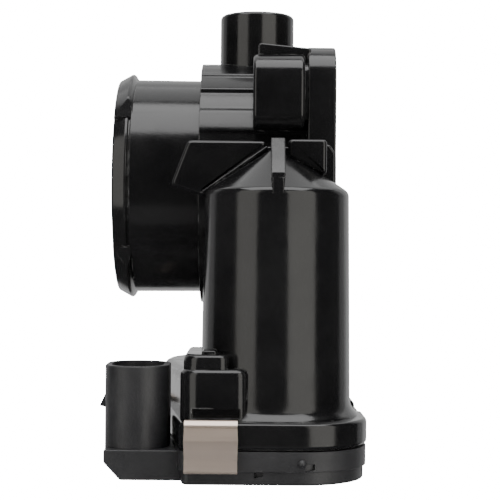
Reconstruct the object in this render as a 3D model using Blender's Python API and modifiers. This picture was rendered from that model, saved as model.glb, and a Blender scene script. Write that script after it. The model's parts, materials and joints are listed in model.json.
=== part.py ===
"""Electronic throttle body, rebuilt as the separate pieces that it comes apart into.

A die-cast housing carries a hose spigot and a four-bolt mounting flange on a horizontal bore along X.
A round plate on a vertical shaft closes the bore. A DC motor in the barrel in front of the bore turns
the shaft through two gear stages, which run in a tray under the bore, closed by a clipped-on cover.

Sizes are in millimetres and become metres where a mesh is made. The origin is under the middle of the
object, on the plane of the cover's underside: +X is the flange side, +Y the far side, +Z up.
"""

import math

import bmesh
import bpy
from mathutils import Matrix, Vector

MM = 0.001
GAP = 0.3  # between pieces that touch
MERGE = 0.00001  # metres

# Bore, spigot and flange
BORE_Y = 18.5
BORE_Z = 77.4
BORE_R = 28.5
TUBE_R = 31.5
BEAD_R = 33.15
RING_R = 34.5
INLET_X = -34.8
BEAD_X = -30.7
RING_X = -10.4
FLANGE_X = 27.4
FLANGE_THICK = 7.8
FLANGE_HALF = 37.9
FLANGE_CORNER_R = 11.5
BOLT_Y = 30.0
BOLT_Z = 24.2
BOLT_HOLE_R = 3.3
BOLT_BOSS_R = 10.0

# Throttle shaft and plate
SHAFT_X = 5.7
SHAFT_R = 4.0
SHAFT_LOW = 7.5
SHAFT_TOP = 121.0
TOP_BOSS_R = 10.95
TOP_BOSS_Z = 128.5
REST_ANGLE = 7.0  # degrees that the plate stands open at rest
PLATE_R = BORE_R - GAP
PLATE_THICK = 1.6

# Motor and its barrel
MOTOR_X = 11.1
MOTOR_Y = -30.5
BARREL_R = 19.45
BARREL_TOP = 74.3
CONE_TOP = 87.1
BARREL_BORE_R = 16.0
CAN_R = 15.5
CAN_LOW = 13.2
CAN_TOP = 69.0
TERMINAL_Y = MOTOR_Y - 10.5

# Gear tray and cover
JOINT_Z = 8.8
LEDGE_Z = 15.5
ROOF_Z = 13.0
HUMP_Z = 27.5
HUMP_ROOF_Z = 24.8
RIM_R = 23.7  # round the motor's axis
RIM_CORNER_R = 17.8
RIM_CORNER = (MOTOR_X + RIM_R - RIM_CORNER_R, MOTOR_Y - RIM_R + RIM_CORNER_R)
TRAY_R = 28.5  # round the shaft's axis
CORNER_R = 3.0
CORNER = (-10.5, -51.2)
WALL = 2.7
COVER_WALL = 2.2
COVER_FLOOR = 1.8
COVER_STEP_Z = 3.4
COVER_STEP = 0.7

# Gears: module, teeth
PINION_MODULE = 0.8
PINION_TEETH = 12
WHEEL_TEETH = 39
SECTOR_MODULE = 1.0
SMALL_TEETH = 12
SECTOR_TEETH = 48
SECTOR_CUT_FROM = -12  # teeth counted from the line of centres
SECTOR_CUT_TO = 2
BACKLASH = 0.2
ADDENDUM = 0.75
DEDENDUM = 1.05
PRESSURE = math.radians(20)
SECTOR_LOW = 7.7
SECTOR_HIGH = 10.3
STOP_R = 20.0  # from the shaft's axis to the stop pin

# Connector on the cover
PLUG_X = (-33.0, -16.4)
PLUG_Y = (-46.5, -24.5)
PLUG_TOP = 28.7
PLUG_WALL = 1.6
PLUG_FLOOR = 12.0

CLIP_WIDTH = 13.8
CLIP_THICK = 0.6
BACK_CLIPS = ((2, 40), (3, 90), (4, 140))  # number and facing, in degrees
CLIP_STAND = 0.25  # of a clip off the round rim


# ---------------------------------------------------------------- scene and materials

def clear_scene():
    for item in list(bpy.data.objects):
        bpy.data.objects.remove(item, do_unlink=True)


def collection(name):
    made = bpy.data.collections.new(name)
    bpy.context.scene.collection.children.link(made)
    return made


def material(name, colour, roughness, metallic):
    made = bpy.data.materials.new(name)
    made.use_nodes = True
    shader = made.node_tree.nodes["Principled BSDF"]
    shader.inputs["Base Color"].default_value = (*colour, 1.0)
    shader.inputs["Roughness"].default_value = roughness
    shader.inputs["Metallic"].default_value = metallic
    return made


clear_scene()
PARTS = collection("throttle_body")
CUTTERS = collection("cutters")

BLACK_CASTING = material("black_casting", (0.012, 0.012, 0.013), 0.22, 0.0)
BLACK_PLASTIC = material("black_plastic", (0.03, 0.03, 0.032), 0.5, 0.0)
SPRING_STEEL = material("spring_steel", (0.55, 0.5, 0.46), 0.35, 1.0)
STEEL = material("steel", (0.6, 0.6, 0.6), 0.3, 1.0)
BRASS = material("brass", (0.72, 0.55, 0.25), 0.3, 1.0)
COPPER = material("copper", (0.75, 0.4, 0.25), 0.35, 1.0)
RUBBER = material("rubber", (0.02, 0.02, 0.02), 0.8, 0.0)
WHITE_NYLON = material("white_nylon", (0.75, 0.73, 0.66), 0.5, 0.0)
MAGNET = material("magnet", (0.08, 0.08, 0.09), 0.45, 0.6)
BOARD = material("board", (0.02, 0.12, 0.05), 0.5, 0.0)
TINNED = material("tinned", (0.75, 0.74, 0.7), 0.25, 1.0)
CARBON = material("carbon", (0.04, 0.04, 0.04), 0.6, 0.2)


# ---------------------------------------------------------------- outlines, in millimetres

def circle(centre, radius, steps=32):
    turn = 2 * math.pi / steps
    return [
        (centre[0] + radius * math.cos(turn * i), centre[1] + radius * math.sin(turn * i))
        for i in range(steps)
    ]


def arc(centre, radius, first, last, steps):
    """Points from angle first to last, in degrees."""
    angles = [math.radians(first + (last - first) * i / steps) for i in range(steps + 1)]
    return [(centre[0] + radius * math.cos(a), centre[1] + radius * math.sin(a)) for a in angles]


def convex_hull(points):
    """The points' outline, counter-clockwise."""

    def half(ordered):
        chain = []
        for point in ordered:
            while len(chain) > 1 and (
                (chain[-1][0] - chain[-2][0]) * (point[1] - chain[-2][1])
                - (chain[-1][1] - chain[-2][1]) * (point[0] - chain[-2][0])
            ) <= 1e-6:
                chain.pop()
            chain.append(point)
        return chain[:-1]

    ordered = sorted(set(points))
    return half(ordered) + half(ordered[::-1])


def round_rectangle(low, high, radius, steps=3):
    (x0, y0), (x1, y1) = low, high
    corners = (
        ((x1 - radius, y0 + radius), -90),
        ((x1 - radius, y1 - radius), 0),
        ((x0 + radius, y1 - radius), 90),
        ((x0 + radius, y0 + radius), 180),
    )
    points = []
    for centre, first in corners:
        points += arc(centre, radius, first, first + 90, steps)
    return points


def tray_outline(inset=0.0, steps=36):
    """The gear tray seen from above: round the motor, round the shaft, and a squared front corner."""
    return convex_hull(
        circle(RIM_CORNER, RIM_CORNER_R - inset, steps)
        + circle((SHAFT_X, BORE_Y), TRAY_R - inset, steps)
        + circle(CORNER, CORNER_R - min(inset, CORNER_R - 0.4), 12)
    )


def hump_outline(inset=0.0, steps=34):
    """The deep part of the tray, over the sector gear and the return spring."""
    return convex_hull(
        circle((SHAFT_X, BORE_Y), TRAY_R - 1.4 - inset, steps)
        + circle((-7.5, -28.0), 6.0 - inset, 16)
        + circle((14.0, -22.0), 6.0 - inset, 16)
    )


def involute(angle):
    return math.tan(angle) - angle


def gear_teeth(module, teeth, phase, first=0, last=None):
    """Points of the teeth first to last, with one tooth's middle at the angle phase."""
    radius = module * teeth / 2
    base = radius * math.cos(PRESSURE)
    tip = radius + ADDENDUM * module
    root = radius - DEDENDUM * module
    half = math.pi / (2 * teeth) - BACKLASH / (4 * radius) + involute(PRESSURE)
    low = max(base, root)
    shares = (0.0, 0.5, 1.0) if teeth < 20 else (0.0, 1.0)
    flank = [low + (tip - low) * share for share in shares]
    spread = [(rho, half - involute(math.acos(min(1.0, base / rho)))) for rho in flank]
    if root < base - 0.05:
        spread.insert(0, (root, spread[0][1]))
    points = []
    for tooth in range(first, teeth if last is None else last):
        middle = phase + 2 * math.pi * tooth / teeth
        for rho, side in spread:
            points.append((rho * math.cos(middle - side), rho * math.sin(middle - side)))
        for rho, side in reversed(spread):
            points.append((rho * math.cos(middle + side), rho * math.sin(middle + side)))
    return points


def meeting_point(first, first_distance, second, second_distance):
    """The point at the two distances from the two axes, on the left of the line between them."""
    across = Vector(second) - Vector(first)
    along = (first_distance**2 - second_distance**2 + across.length**2) / (2 * across.length)
    aside = math.sqrt(first_distance**2 - along**2)
    way = across.normalized()
    return Vector(first) + way * along + Vector((way.y, -way.x)) * aside


STAGE_ONE = PINION_MODULE * (PINION_TEETH + WHEEL_TEETH) / 2
STAGE_TWO = SECTOR_MODULE * (SMALL_TEETH + SECTOR_TEETH) / 2
SHAFT_AXIS = (SHAFT_X, BORE_Y)
MOTOR_AXIS = (MOTOR_X, MOTOR_Y)
MIDDLE_AXIS = tuple(meeting_point(SHAFT_AXIS, STAGE_TWO, MOTOR_AXIS, STAGE_ONE))


def heading(start, end):
    return math.atan2(end[1] - start[1], end[0] - start[0])


def tangent_facing(first, first_r, second, second_r, side):
    """The outward angle, in degrees, of the straight line that touches both circles on one side."""
    across = Vector(second) - Vector(first)
    lean = math.asin((first_r - second_r) / across.length)
    return math.degrees(math.atan2(across.y, across.x) + side * (math.pi / 2 - lean))


# Places worked out from the sizes above
STOP_ANGLE = heading(SHAFT_AXIS, MIDDLE_AXIS) - math.radians(106.5)
STOP_AT = (SHAFT_X + STOP_R * math.cos(STOP_ANGLE), BORE_Y + STOP_R * math.sin(STOP_ANGLE))
MOTOR_SCREWS = [
    (MOTOR_X + 17.7 * math.cos(math.radians(a)), MOTOR_Y + 17.7 * math.sin(math.radians(a)))
    for a in (30, 210)
]
LEFT_FACING = tangent_facing(SHAFT_AXIS, TRAY_R, CORNER, CORNER_R, -1) % 360
BOLT_PLACES = [
    (BORE_Y + side * BOLT_Y, BORE_Z + level * BOLT_Z, side, level)
    for side, level in ((-1, 1), (1, 1), (1, -1), (-1, -1))
]


# ---------------------------------------------------------------- solids

def add(name, mesh, finish=None, smooth=35):
    """The mesh as an object: a part when it has a material, or else a cutter."""
    made = bpy.data.objects.new(name, mesh)
    if smooth:
        mesh.shade_smooth()
        mesh.set_sharp_from_angle(angle=math.radians(smooth))
    if finish:
        PARTS.objects.link(made)
        mesh.materials.append(finish)
    else:
        CUTTERS.objects.link(made)
        made.hide_render = True
        made.display_type = "WIRE"
    return made


def mesh_of(name, form, scale=MM):
    mesh = bpy.data.meshes.new(name)
    form.to_mesh(mesh)
    form.free()
    mesh.transform(Matrix.Scale(scale, 4))
    return mesh


def cylinder(name, centre, radius, low, high, finish=None, steps=24, axis="Z"):
    """A round bar along axis from low to high; centre gives the other two coordinates, in X, Y, Z order."""
    form = bmesh.new()
    bmesh.ops.create_cone(
        form, cap_ends=True, segments=steps, radius1=radius, radius2=radius, depth=high - low
    )
    middle = (low + high) / 2
    turn = Matrix.Identity(4)
    place = (centre[0], centre[1], middle)
    if axis == "X":
        turn = Matrix.Rotation(math.radians(90), 4, "Y")
        place = (middle, centre[0], centre[1])
    if axis == "Y":
        turn = Matrix.Rotation(math.radians(-90), 4, "X")
        place = (centre[0], middle, centre[1])
    bmesh.ops.transform(form, matrix=Matrix.Translation(place) @ turn, verts=form.verts)
    return add(name, mesh_of(name, form), finish)


def box(name, low, high, finish=None, bevel=0.0, segments=2):
    form = bmesh.new()
    bmesh.ops.create_cube(form, size=1)
    size = Vector(high) - Vector(low)
    bmesh.ops.scale(form, vec=size, verts=form.verts)
    bmesh.ops.translate(form, vec=(Vector(high) + Vector(low)) / 2, verts=form.verts)
    if bevel:
        bmesh.ops.bevel(
            form, geom=form.edges[:], offset=bevel, segments=segments, profile=0.5, affect="EDGES"
        )
    return add(name, mesh_of(name, form), finish)


def prism(name, outlines, low, high, finish=None, axis="Z"):
    """Flat outlines, the later ones holes, made solid from low to high along axis.

    Along X an outline holds (y, z) points, and along Y (x, z) points."""
    curve = bpy.data.curves.new(name, "CURVE")
    curve.dimensions = "2D"
    curve.fill_mode = "BOTH"
    curve.extrude = (high - low) / 2
    for outline in outlines:
        spline = curve.splines.new("POLY")
        spline.points.add(len(outline) - 1)
        spline.use_cyclic_u = True
        for point, (across, up) in zip(spline.points, outline):
            point.co = (across, up, 0, 1)
    guide = bpy.data.objects.new(name, curve)
    CUTTERS.objects.link(guide)
    bpy.context.view_layer.update()
    mesh = bpy.data.meshes.new_from_object(guide.evaluated_get(bpy.context.evaluated_depsgraph_get()))
    bpy.data.objects.remove(guide)
    form = bmesh.new()
    form.from_mesh(mesh)
    bmesh.ops.remove_doubles(form, verts=form.verts, dist=0.0005)
    turns = {
        "Z": Matrix.Identity(4),
        "X": Matrix(((0, 0, 1, 0), (1, 0, 0, 0), (0, 1, 0, 0), (0, 0, 0, 1))),
        "Y": Matrix(((1, 0, 0, 0), (0, 0, -1, 0), (0, 1, 0, 0), (0, 0, 0, 1))),
    }
    middle = (low + high) / 2
    shift = {"Z": (0, 0, middle), "X": (middle, 0, 0), "Y": (0, middle, 0)}[axis]
    bmesh.ops.transform(form, matrix=Matrix.Translation(shift) @ turns[axis], verts=form.verts)
    bmesh.ops.recalc_face_normals(form, faces=form.faces)
    form.to_mesh(mesh)
    form.free()
    mesh.transform(Matrix.Scale(MM, 4))
    return add(name, mesh, finish)


def turned(name, profile, centre, finish=None, steps=48, axis="Z", closed=True):
    """A profile of (radius, height) points turned about an axis, from its outer top point downwards."""
    mesh = bpy.data.meshes.new(name)
    points = [(radius * MM, 0, height * MM) for radius, height in profile]
    edges = [(i, i + 1) for i in range(len(points) - 1)]
    if closed:
        edges.append((len(points) - 1, 0))
    mesh.from_pydata(points, edges, [])
    made = add(name, mesh, finish, smooth=0)
    made.location = Vector(centre) * MM
    if axis == "X":
        made.rotation_euler = (0, math.radians(90), 0)
    turn = made.modifiers.new("turn", "SCREW")
    turn.angle = 2 * math.pi
    turn.steps = steps
    turn.render_steps = steps
    turn.use_merge_vertices = True
    turn.merge_threshold = MERGE
    turn.use_smooth_shade = True
    return made


def ring(name, centre, inner, outer, low, high, finish=None, steps=20):
    profile = [(outer, high), (outer, low), (inner, low), (inner, high)]
    return turned(name, profile, (*centre, 0), finish, steps)


def coil(name, centre, radius, wire, low, pitch, turns, finish):
    """A spring with a straight leg at each end, pointing away from the axis."""
    curve = bpy.data.curves.new(name, "CURVE")
    curve.dimensions = "3D"
    curve.bevel_depth = wire / 2 * MM
    curve.bevel_resolution = 1
    curve.use_fill_caps = True
    per_turn = 14
    count = int(turns * per_turn)
    points = []
    for i in range(count + 1):
        angle = 2 * math.pi * i / per_turn
        points.append((radius * math.cos(angle), radius * math.sin(angle), low + pitch * i / per_turn))
    last = 2 * math.pi * count / per_turn
    leg = radius + 5.0
    points.insert(0, (leg, -1.5, low))
    points.append((leg * math.cos(last), leg * math.sin(last), low + pitch * count / per_turn))
    spline = curve.splines.new("POLY")
    spline.points.add(len(points) - 1)
    for target, (x, y, z) in zip(spline.points, points):
        target.co = (x * MM, y * MM, z * MM, 1)
    made = bpy.data.objects.new(name, curve)
    curve.materials.append(finish)
    PARTS.objects.link(made)
    made.location = (centre[0] * MM, centre[1] * MM, 0)
    return made


def combine(target, other, operation):
    step = target.modifiers.new(other.name, "BOOLEAN")
    step.operation = operation
    step.solver = "EXACT"
    step.object = other
    return target


def join(target, *others):
    for other in others:
        combine(target, other, "UNION")


def cut(target, *others):
    for other in others:
        combine(target, other, "DIFFERENCE")


def axis_empty(name, axis, angle=0.0):
    """An empty on a vertical joint axis, turned by angle degrees, that the moving pieces hang from."""
    made = bpy.data.objects.new(name, None)
    PARTS.objects.link(made)
    made.location = (axis[0] * MM, axis[1] * MM, 0)
    made.rotation_euler = (0, 0, math.radians(angle))
    return made


def hang(empty, *pieces):
    for piece in pieces:
        piece.parent = empty


def shifted(points, centre):
    return [(x + centre[0], y + centre[1]) for x, y in points]


# ---------------------------------------------------------------- housing

def spigot_and_ring():
    """The bore's outer wall: the barbed hose spigot, then the thicker ring that carries the shaft."""
    outer = [
        (RING_R, FLANGE_X - 1.0),
        (RING_R, RING_X + 0.8),
        (RING_R - 0.8, RING_X),
        (TUBE_R, RING_X),
        (TUBE_R, BEAD_X + 1.7),
        (BEAD_R, BEAD_X + 0.5),
        (BEAD_R, BEAD_X - 0.3),
        (TUBE_R - 0.9, INLET_X + 0.4),
        (TUBE_R - 1.3, INLET_X),
        (BORE_R - 2.0, INLET_X),
        (BORE_R - 2.0, FLANGE_X - 1.0),
    ]
    centre = (0, BORE_Y, BORE_Z)
    return turned("throttle_housing", outer, centre, BLACK_CASTING, steps=48, axis="X")


def flange_parts():
    low = (BORE_Y - FLANGE_HALF, BORE_Z - FLANGE_HALF)
    high = (BORE_Y + FLANGE_HALF, BORE_Z + FLANGE_HALF)
    outline = round_rectangle(low, high, FLANGE_CORNER_R)
    parts = [prism("flange_plate", [outline], FLANGE_X - FLANGE_THICK, FLANGE_X, axis="X")]
    for index, (y, z, side, level) in enumerate(BOLT_PLACES):
        half = BOLT_BOSS_R if side < 0 else BOLT_BOSS_R - 2.4
        rise = half + (1.0 if side < 0 and level > 0 else 0.0)
        block = round_rectangle((y - half, z - half), (y + half, z + rise), 5)
        start, end = (-22.8, -9.2) if level > 0 else (-13.0, -7.0)
        parts.append(prism(f"bolt_boss_{index + 1}", [block], FLANGE_X + start, FLANGE_X + end, axis="X"))
        parts.append(
            cylinder(f"bolt_root_{index + 1}", (y, z), 7.2, FLANGE_X - 11.0, FLANGE_X - 4.0, axis="X")
        )
    return parts


def shaft_tower():
    """Bosses for the shaft above and below the bore, and the neck that stands on the gear tray."""
    return [
        cylinder("top_boss", SHAFT_AXIS, TOP_BOSS_R, 100.0, TOP_BOSS_Z, steps=32),
        box("top_shelf", (RING_X + 0.5, BORE_Y - 12, 100), (20.5, BORE_Y + 12, 112.0)),
        prism(
            "top_web",
            [[(5.9, 98), (20.5, 98), (20.5, 114.3), (5.9, 115.7)]],
            BORE_Y - 35,
            BORE_Y - 12,
            axis="Y",
        ),
        box("neck", (-7.5, -4.0, HUMP_Z - 1.0), (21.0, 40.0, 62.0), bevel=2.0),
    ]


def barrel_parts():
    """The motor's barrel with its coned end, the plates beside the cone and the rib down its front."""
    axis = MOTOR_AXIS
    barrel = turned(
        "motor_barrel",
        [
            (0, CONE_TOP - 0.4),
            (3.2, CONE_TOP - 0.8),
            (BARREL_R - 1.8, BARREL_TOP + 1.2),
            (BARREL_R - 0.5, BARREL_TOP - 0.4),
            (BARREL_R, BARREL_TOP - 2.2),
            (BARREL_R + 0.4, LEDGE_Z - 2.0),
            (0, LEDGE_Z - 2.0),
        ],
        (*axis, 0),
        closed=False,
        steps=40,
    )
    left = [(-12.6, 87.4), (9.6, 87.4), (9.6, 86.2), (-8.0, 74.0), (-8.3, 72.6), (-17.1, 75.6)]
    right = [(12.6, 87.6), (24.2, 87.6), (24.2, 76.0), (12.6, 76.0)]
    rib_y = MOTOR_Y - BARREL_R + 0.2
    rib = [(rib_y, 72.0), (MOTOR_Y + 2.0, 72.0), (MOTOR_Y + 2.0, 87.5), (MOTOR_Y - 1.5, 87.5), (rib_y, 78.1)]
    return [
        barrel,
        prism("left_plate", [left[::-1]], MOTOR_Y - 0.4, MOTOR_Y + 5.0, axis="Y"),
        prism("right_plate", [right[::-1]], MOTOR_Y - 0.5, MOTOR_Y + 5.2, axis="Y"),
        box("plate_bridge", (-7.0, MOTOR_Y + 3.5, 50.0), (21.5, -8.0, 86.4)),
        prism("centre_rib", [rib], MOTOR_X - 1.7, MOTOR_X + 1.9, axis="X"),
    ]


def tray_parts():
    """The gear tray: rim, deep hump over the sector gear, and the stepped block at the front left."""
    return [
        prism("tray", [tray_outline()], JOINT_Z, LEDGE_Z),
        box("block_low", (-13.4, -50.6, LEDGE_Z - 1.5), (3.8, -18.0, 28.4), bevel=1.4),
        box("block_high", (-12.6, -49.6, 24.0), (-0.8, -20.0, 32.1), bevel=1.2),
        prism("hump", [hump_outline()], JOINT_Z + 0.7, HUMP_Z),
    ]


def housing_hollows():
    """Everything cut out of the casting once its outside is whole."""
    cuts = [
        prism("tray_hollow", [tray_outline(WALL)], JOINT_Z - 3, ROOF_Z),
        prism("hump_hollow", [hump_outline(WALL)], JOINT_Z - 2, HUMP_ROOF_Z),
        cylinder("barrel_hollow", MOTOR_AXIS, BARREL_BORE_R, JOINT_Z - 1, 71.5, steps=32),
        cylinder("bore", (BORE_Y, BORE_Z), BORE_R, INLET_X - 5, FLANGE_X + 5, steps=48, axis="X"),
        box("ledge_notch", (29.4, -24.5, LEDGE_Z - 1.6), (40.0, 0.5, LEDGE_Z + 3.0)),
    ]
    return cuts


def inner_bosses():
    return [
        cylinder("bearing_boss", SHAFT_AXIS, 10.5, ROOF_Z + 0.2, HUMP_Z - 0.9),
        cylinder("pin_boss", MIDDLE_AXIS, 3.6, 11.2, HUMP_Z - 1.1, steps=16),
        cylinder("stop_boss", STOP_AT, 2.8, 12.6, HUMP_Z - 1.2, steps=16),
    ]


def housing_holes():
    """Bearing seats, the shaft's hole, screw and bolt holes, and the grooves for the two seals."""
    holes = [
        cylinder("shaft_hole", SHAFT_AXIS, SHAFT_R + 0.5, 12, SHAFT_TOP + 1.5, steps=20),
        cylinder("lower_seat", SHAFT_AXIS, 8.0 + GAP, 12, 20.4),
        cylinder("lower_seal_seat", SHAFT_AXIS, 6.6 + GAP, 12.1, 25.2),
        cylinder("upper_seat", SHAFT_AXIS, 7.0 + GAP, 100.0, 121.8),
        cylinder("pin_hole", MIDDLE_AXIS, 1.5 + GAP, 10, 21.3, steps=14),
        cylinder("stop_hole", STOP_AT, 1.5 + GAP, 10, 21.3, steps=14),
        prism(
            "seal_groove",
            [tray_outline(0.7), tray_outline(2.0)],
            JOINT_Z - 1.0,
            JOINT_Z + 1.2,
        ),
    ]
    for index, (x, y) in enumerate(MOTOR_SCREWS):
        holes.append(cylinder(f"motor_screw_hole_{index + 1}", (x, y), 1.1 + GAP, 12, 22.3, steps=12))
    for index, (y, z, _, _) in enumerate(BOLT_PLACES):
        holes.append(
            cylinder(f"bolt_hole_{index + 1}", (y, z), BOLT_HOLE_R, 0, FLANGE_X + 2, steps=16, axis="X")
        )
    groove = [(33.2, FLANGE_X + 1), (33.2, FLANGE_X - 1.8), (30.8, FLANGE_X - 1.8), (30.8, FLANGE_X + 1)]
    holes.append(turned("face_groove", groove, (0, BORE_Y, BORE_Z), steps=36, axis="X"))
    return holes


def housing():
    body = spigot_and_ring()
    join(body, *flange_parts(), *shaft_tower(), *barrel_parts(), *tray_parts())
    cut(body, *housing_hollows())
    join(body, *inner_bosses())
    cut(body, *housing_holes())
    return body


# ---------------------------------------------------------------- cover, connector and clips

def gear_cover():
    """The moulded cover: a stepped shell with the connector standing on its front left corner."""
    outline = tray_outline(0.2)
    cover = prism("gear_cover", [outline], COVER_STEP_Z, JOINT_Z - GAP, BLACK_PLASTIC)
    side = [
        (-32.6, 7.7),
        (-10.0, 7.7),
        (-10.0, 0.0),
        (-28.4, 0.0),
        (-32.6, 4.5),
    ]
    shoulder = prism("plug_shoulder", [side], PLUG_Y[0] - 0.6, PLUG_Y[1] + 8.0, axis="Y")
    half = (PLUG_X[1] - PLUG_X[0]) / 2
    shell = round_rectangle((PLUG_X[0], PLUG_Y[0]), (PLUG_X[1], PLUG_Y[1]), half - 0.05, 6)
    inner = round_rectangle(
        (PLUG_X[0] + PLUG_WALL, PLUG_Y[0] + PLUG_WALL),
        (PLUG_X[1] - PLUG_WALL, PLUG_Y[1] - PLUG_WALL),
        half - PLUG_WALL - 0.05,
        6,
    )
    latch = [(-34.5, 17.9), (-32.4, 17.4), (-32.4, 22.5)]
    latch_y = (PLUG_Y[0] + PLUG_Y[1]) / 2
    join(
        cover,
        prism("cover_base", [tray_outline(0.2 + COVER_STEP)], 0.0, COVER_STEP_Z + 0.4),
        shoulder,
        prism("plug_shell", [shell], 4.0, PLUG_TOP),
        prism("plug_latch", [latch[::-1]], latch_y - 3, latch_y + 3, axis="Y"),
    )
    cut(
        cover,
        prism("cover_hollow", [tray_outline(0.2 + COVER_WALL)], COVER_FLOOR, JOINT_Z + 2),
        prism("plug_hollow", [inner], PLUG_FLOOR, PLUG_TOP + 3),
    )
    pad = cylinder("pin_socket", MIDDLE_AXIS, 3.4, 1.0, 2.9, steps=16)
    join(cover, pad)
    cut(cover, cylinder("pin_socket_hole", MIDDLE_AXIS, 1.5 + GAP, 1.2, 6.0, steps=14))
    for x, y in pin_places():
        hole = box(f"contact_hole_{x:.0f}_{y:.0f}", (x - 0.7, y - 0.7, 9.2), (x + 0.7, y + 0.7, 14.0))
        cut(cover, hole)
    return cover


def pin_places():
    """Six contacts in two rows of three."""
    middle_x = (PLUG_X[0] + PLUG_X[1]) / 2
    middle_y = (PLUG_Y[0] + PLUG_Y[1]) / 2
    return [(middle_x + 2.3 * row, middle_y + 5.0 * place) for row in (-1, 1) for place in (-1, 0, 1)]


def connector_pins():
    for index, (x, y) in enumerate(pin_places()):
        box(f"connector_pin_{index + 1}", (x - 0.4, y - 0.4, 9.6), (x + 0.4, y + 0.4, 21.5), TINNED)


def cover_seal():
    prism("cover_seal", [tray_outline(1.0), tray_outline(1.7)], JOINT_Z - 0.1, JOINT_Z + 0.9, RUBBER)


def clip_profile():
    """The ribbon's path, as (out, up) points: out from the wall, up from the cover's underside."""
    return [
        (-1.0, 16.0),
        (0.2, 16.1),
        (1.3, 15.9),
        (1.95, 15.1),
        (1.1, 11.1),
        (1.5, 6.4),
        (0.75, 3.2),
        (0.1, 2.9),
    ]


def clip(name, place, facing):
    """A spring clip on the wall at place, facing outward at the given angle in degrees."""
    mesh = bpy.data.meshes.new(name)
    path = clip_profile()
    half = CLIP_WIDTH / 2
    form = bmesh.new()
    rows = [[form.verts.new((side, -out, up)) for out, up in path] for side in (-half, half)]
    for i in range(len(path) - 1):
        form.faces.new((rows[0][i], rows[0][i + 1], rows[1][i + 1], rows[1][i]))
    form.to_mesh(mesh)
    form.free()
    mesh.transform(Matrix.Scale(MM, 4))
    made = add(name, mesh, SPRING_STEEL, smooth=0)
    thick = made.modifiers.new("thickness", "SOLIDIFY")
    thick.thickness = CLIP_THICK * MM
    thick.offset = 0
    thick.use_even_offset = True
    made.location = (place[0] * MM, place[1] * MM, 0)
    made.rotation_euler = (0, 0, math.radians(facing + 90))
    return made


def clips():
    """One at the front, one on the left, and three round the back of the rim."""
    left_way = math.radians(LEFT_FACING)
    left = (SHAFT_X + TRAY_R * math.cos(left_way), BORE_Y + TRAY_R * math.sin(left_way))
    slide = Vector((math.sin(left_way), -math.cos(left_way))) * -9.0
    clip("cover_clip_1", (-5.2, CORNER[1] - CORNER_R), -90)
    for number, facing in BACK_CLIPS:
        way = math.radians(facing)
        reach = TRAY_R + CLIP_STAND
        clip(f"cover_clip_{number}", (SHAFT_X + reach * math.cos(way), BORE_Y + reach * math.sin(way)), facing)
    clip("cover_clip_5", (left[0] + slide.x, left[1] + slide.y), LEFT_FACING)


# ---------------------------------------------------------------- throttle

def plate_screw_heights():
    return (BORE_Z - 14.0, BORE_Z + 14.0)


def throttle():
    """Shaft, plate and screws, turned together to the rest angle about the shaft's axis."""
    axis = axis_empty("throttle_axis", SHAFT_AXIS, REST_ANGLE)
    shaft = cylinder("throttle_shaft", (0, 0), SHAFT_R, SHAFT_LOW, SHAFT_TOP, STEEL, steps=20)
    slot_half = PLATE_THICK / 2 + GAP
    slot = box(
        "plate_slot",
        (-slot_half, -SHAFT_R - 1, BORE_Z - PLATE_R - GAP),
        (slot_half, SHAFT_R + 1, BORE_Z + PLATE_R + GAP),
    )
    flat = box("head_flat", (2.6, -SHAFT_R - 1, BORE_Z - 19.5), (SHAFT_R + 1, SHAFT_R + 1, BORE_Z + 19.5))
    cut(shaft, slot, flat)
    plate = cylinder(
        "throttle_plate", (0, BORE_Z), PLATE_R, -PLATE_THICK / 2, PLATE_THICK / 2, BRASS, 48, axis="X"
    )
    hang(axis, shaft, plate, slot, flat)
    for index, height in enumerate(plate_screw_heights()):
        hole = cylinder(f"plate_hole_{index + 1}", (0, height), 1.2 + GAP, -6, 6, steps=12, axis="X")
        cut(shaft, hole)
        cut(plate, hole)
        screw = turned(
            f"plate_screw_{index + 1}",
            [(0, 4.3), (1.6, 4.2), (2.1, 3.4), (2.1, 2.9), (1.2, 2.9), (1.2, -3.4), (0, -3.4)],
            (0, 0, height),
            STEEL,
            steps=12,
            axis="X",
            closed=False,
        )
        hang(axis, hole, screw)
    return axis


def sector_outline():
    """A hub with a toothed sector, the gap between two teeth on the line to the intermediate gear."""
    toward = heading(SHAFT_AXIS, MIDDLE_AXIS)
    step = 2 * math.pi / SECTOR_TEETH
    phase = toward + step / 2
    points = gear_teeth(SECTOR_MODULE, SECTOR_TEETH, phase, SECTOR_CUT_FROM, SECTOR_CUT_TO)
    first = math.degrees(phase + step * (SECTOR_CUT_FROM - 0.6))
    last = math.degrees(phase + step * (SECTOR_CUT_TO - 0.4))
    root = SECTOR_MODULE * SECTOR_TEETH / 2 - DEDENDUM * SECTOR_MODULE
    hub = arc((0, 0), 8.0, last + 20, first + 340, 14)
    opening = arc((0, 0), root, first, first, 1)[:1]
    closing = arc((0, 0), root, last, last, 1)[:1]
    return opening + points + closing + hub


def sector_gear():
    gear = prism(
        "sector_gear", [shifted(sector_outline(), SHAFT_AXIS)], SECTOR_LOW, SECTOR_HIGH, WHITE_NYLON
    )
    join(gear, cylinder("sector_hub", SHAFT_AXIS, 7.4, SECTOR_LOW + 0.4, 12.2, steps=20))
    cut(gear, cylinder("sector_bore", SHAFT_AXIS, SHAFT_R + GAP, 0, 16, steps=20))
    return gear


def sensor():
    ring("sensor_magnet", SHAFT_AXIS, 3.4, 6.6, 4.3, SECTOR_LOW - GAP, MAGNET, 20)
    low = (SHAFT_X - 9, BORE_Y - 7, COVER_FLOOR + GAP)
    box("sensor_board", low, (SHAFT_X + 9, BORE_Y + 9, COVER_FLOOR + GAP + 1.4), BOARD)


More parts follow.
